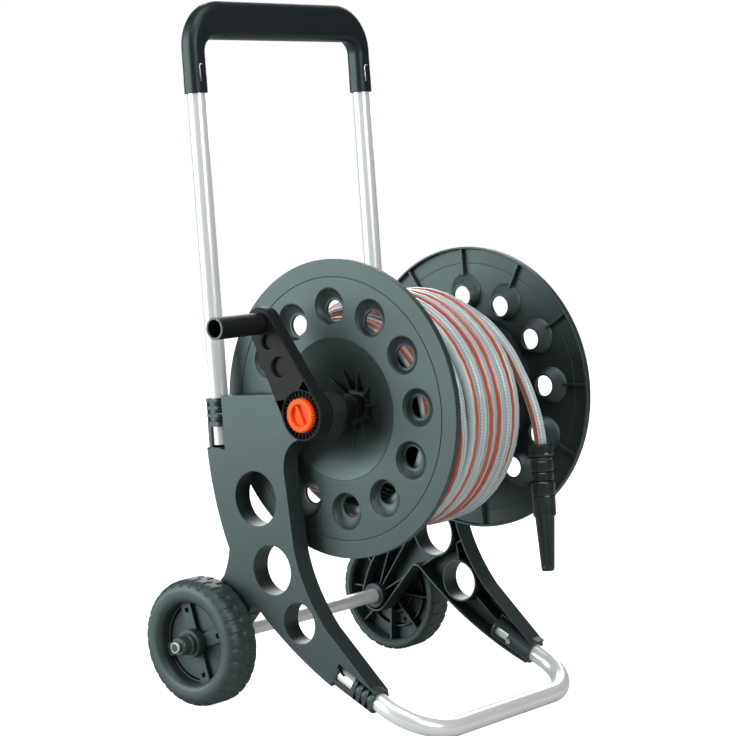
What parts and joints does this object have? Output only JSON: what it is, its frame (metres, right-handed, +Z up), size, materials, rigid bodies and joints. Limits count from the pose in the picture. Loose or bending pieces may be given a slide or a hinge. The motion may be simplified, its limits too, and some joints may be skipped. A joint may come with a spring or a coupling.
{
  "type": "garden hose reel cart",
  "caption": "Wheeled garden cart with a crank-driven hose drum between two moulded side panels, aluminium handle and foot loop, wound hose and spray nozzle.",
  "frame": {"origin": "middle of the cart's footprint box, on the ground it stands on", "axes": "+Z up, +X along the reel's and wheels' axles from the crank side to the water inlet side, -Y to the front where the foot loop is, +Y to the back where the wheels and the handle are"},
  "size_m": [0.5495, 0.4799, 0.9411],
  "materials": {
    "panel": "matte moulded polypropylene, charcoal",
    "wheel": "matte moulded plastic, charcoal",
    "cap": "satin moulded plastic",
    "flange": "matte moulded polypropylene, charcoal",
    "core": "matte moulded plastic",
    "tube": "satin anodised aluminium",
    "grip": "fine-textured black plastic",
    "black_plastic": "black moulded plastic",
    "crank": "black moulded plastic",
    "knob": "orange moulded plastic",
    "steel": "zinc plated",
    "seal": "nitrile rubber",
    "hose": "light grey hose with orange-red stripes",
    "nozzle": "black moulded plastic"
  },
  "bodies": {
    "root": {"side_panel_left": "panel", "side_panel_right": "panel", "handle_tube_left": "tube", "handle_tube_right": "tube", "handle_grip": "grip", "grip_clips": "steel", "foot_tube": "tube", "frame_screws": "steel", "wheel_axle": "tube", "reel_bush_left": "black_plastic", "reel_bush_right": "black_plastic", "axle_washers": "black_plastic", "hub_cap_left": "cap", "hub_cap_right": "cap"},
    "wheel_left": {"wheel_left": "wheel"},
    "wheel_right": {"wheel_right": "wheel"},
    "reel": {"flange_left": "flange", "flange_right": "flange", "drum_core": "core", "reel_spindle": "black_plastic", "spindle_rings": "black_plastic", "ring_screws": "steel", "water_elbow": "black_plastic", "hose_start_connector": "black_plastic", "crank_arm": "crank", "crank_pin": "steel", "pin_clip": "steel", "hose_pack": "hose", "hose_tail": "hose", "hose_connector": "nozzle", "connector_sleeve": "nozzle", "nozzle_body": "nozzle"},
    "crank_grip": {"crank_grip": "crank"},
    "lock_knob": {"lock_knob": "knob", "lock_stem": "steel"},
    "inlet": {"inlet_elbow": "black_plastic", "inlet_seals": "seal", "inlet_gland": "black_plastic", "inlet_thread": "black_plastic"},
    "nozzle_head": {"nozzle_head": "nozzle", "nozzle_seal": "seal"}
  },
  "joints": [
    {"name": "reel_spin", "type": "hinge", "parent": "root", "child": "reel", "pos_m": [0.023, -0.0415, 0.412], "axis": [1, 0, 0], "continuous": true},
    {"name": "crank_grip_spin", "type": "hinge", "parent": "reel", "child": "crank_grip", "pos_m": [-0.227, 0.03148, 0.52438], "axis": [1, 0, 0], "continuous": true},
    {"name": "lock_knob_turn", "type": "hinge", "parent": "reel", "child": "lock_knob", "pos_m": [-0.187, -0.0415, 0.412], "axis": [1, 0, 0], "range_deg": [0, 90]},
    {"name": "wheel_left_spin", "type": "hinge", "parent": "root", "child": "wheel_left", "pos_m": [-0.185, 0.1505, 0.086], "axis": [1, 0, 0], "continuous": true},
    {"name": "wheel_right_spin", "type": "hinge", "parent": "root", "child": "wheel_right", "pos_m": [0.231, 0.1505, 0.086], "axis": [1, 0, 0], "continuous": true},
    {"name": "inlet_swivel", "type": "hinge", "parent": "root", "child": "inlet", "pos_m": [0.218, -0.0415, 0.412], "axis": [1, 0, 0], "continuous": true},
    {"name": "nozzle_twist", "type": "hinge", "parent": "reel", "child": "nozzle_head", "pos_m": [0.078, -0.2195, 0.362], "axis": [0, -0.0872, -0.9962], "range_deg": [0, 180]}
  ]
}
